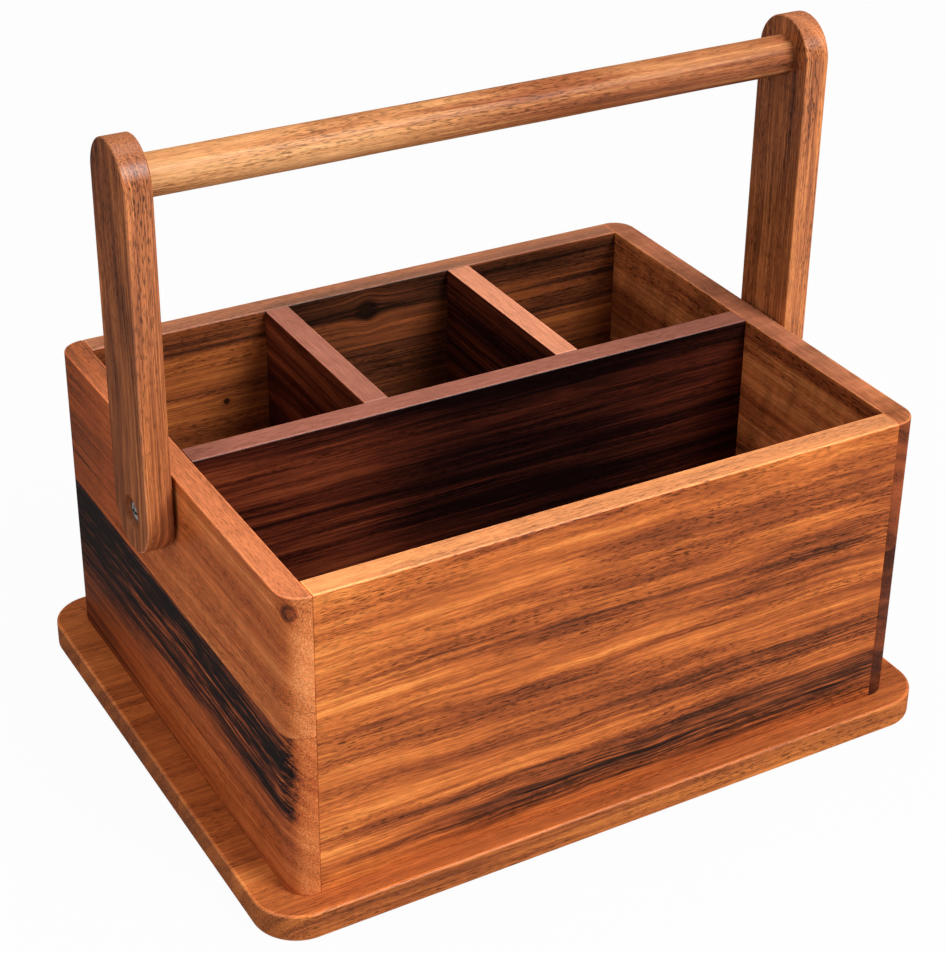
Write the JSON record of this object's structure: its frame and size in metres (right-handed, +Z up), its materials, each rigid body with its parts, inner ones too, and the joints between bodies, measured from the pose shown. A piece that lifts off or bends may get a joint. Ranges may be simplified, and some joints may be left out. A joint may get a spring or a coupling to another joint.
{
  "type": "utensil caddy",
  "caption": "Wooden utensil caddy: an open box with one long and three short compartments on an overhanging base, with an upright carry handle that swings over either side.",
  "frame": {"origin": "middle of the underside of the base board, at the bottom of the bounding box", "axes": "+X to the right along the front, parallel to the handle's pivot axis; +Y from the long front compartment to the back; +Z up"},
  "size_m": [0.28, 0.221, 0.254],
  "materials": {
    "base_wood": "satin oiled acacia, red-brown",
    "side_wood": "satin oiled acacia with dark heartwood bands",
    "front_wood": "satin oiled acacia, honey orange with a dark band",
    "back_wood": "satin oiled acacia, golden brown",
    "divider_wood": "satin oiled acacia, dark red-brown",
    "arm_wood": "satin oiled acacia, mid brown",
    "grip_wood": "satin turned wood, light golden",
    "screw_metal": "bright nickel",
    "washer_rubber": "matt black",
    "insert_brass": "plain turned",
    "wood_screw_steel": "zinc plated"
  },
  "bodies": {
    "caddy": {"base_board": "base_wood", "left_side_panel": "side_wood", "right_side_panel": "side_wood", "front_panel": "front_wood", "back_panel": "back_wood", "long_divider": "divider_wood", "left_cross_divider": "divider_wood", "right_cross_divider": "divider_wood", "left_pivot_screw": "screw_metal", "right_pivot_screw": "screw_metal", "left_pivot_washer": "washer_rubber", "right_pivot_washer": "washer_rubber", "left_threaded_insert": "insert_brass", "right_threaded_insert": "insert_brass", "base_screws": "wood_screw_steel"},
    "handle": {"left_handle_arm": "arm_wood", "right_handle_arm": "arm_wood", "grip_rod": "grip_wood"}
  },
  "joints": [
    {"name": "handle_swing", "type": "hinge", "parent": "caddy", "child": "handle", "pos_m": [0, 0, 0.115], "axis": [1, 0, 0], "range_deg": [-116, 116]}
  ]
}
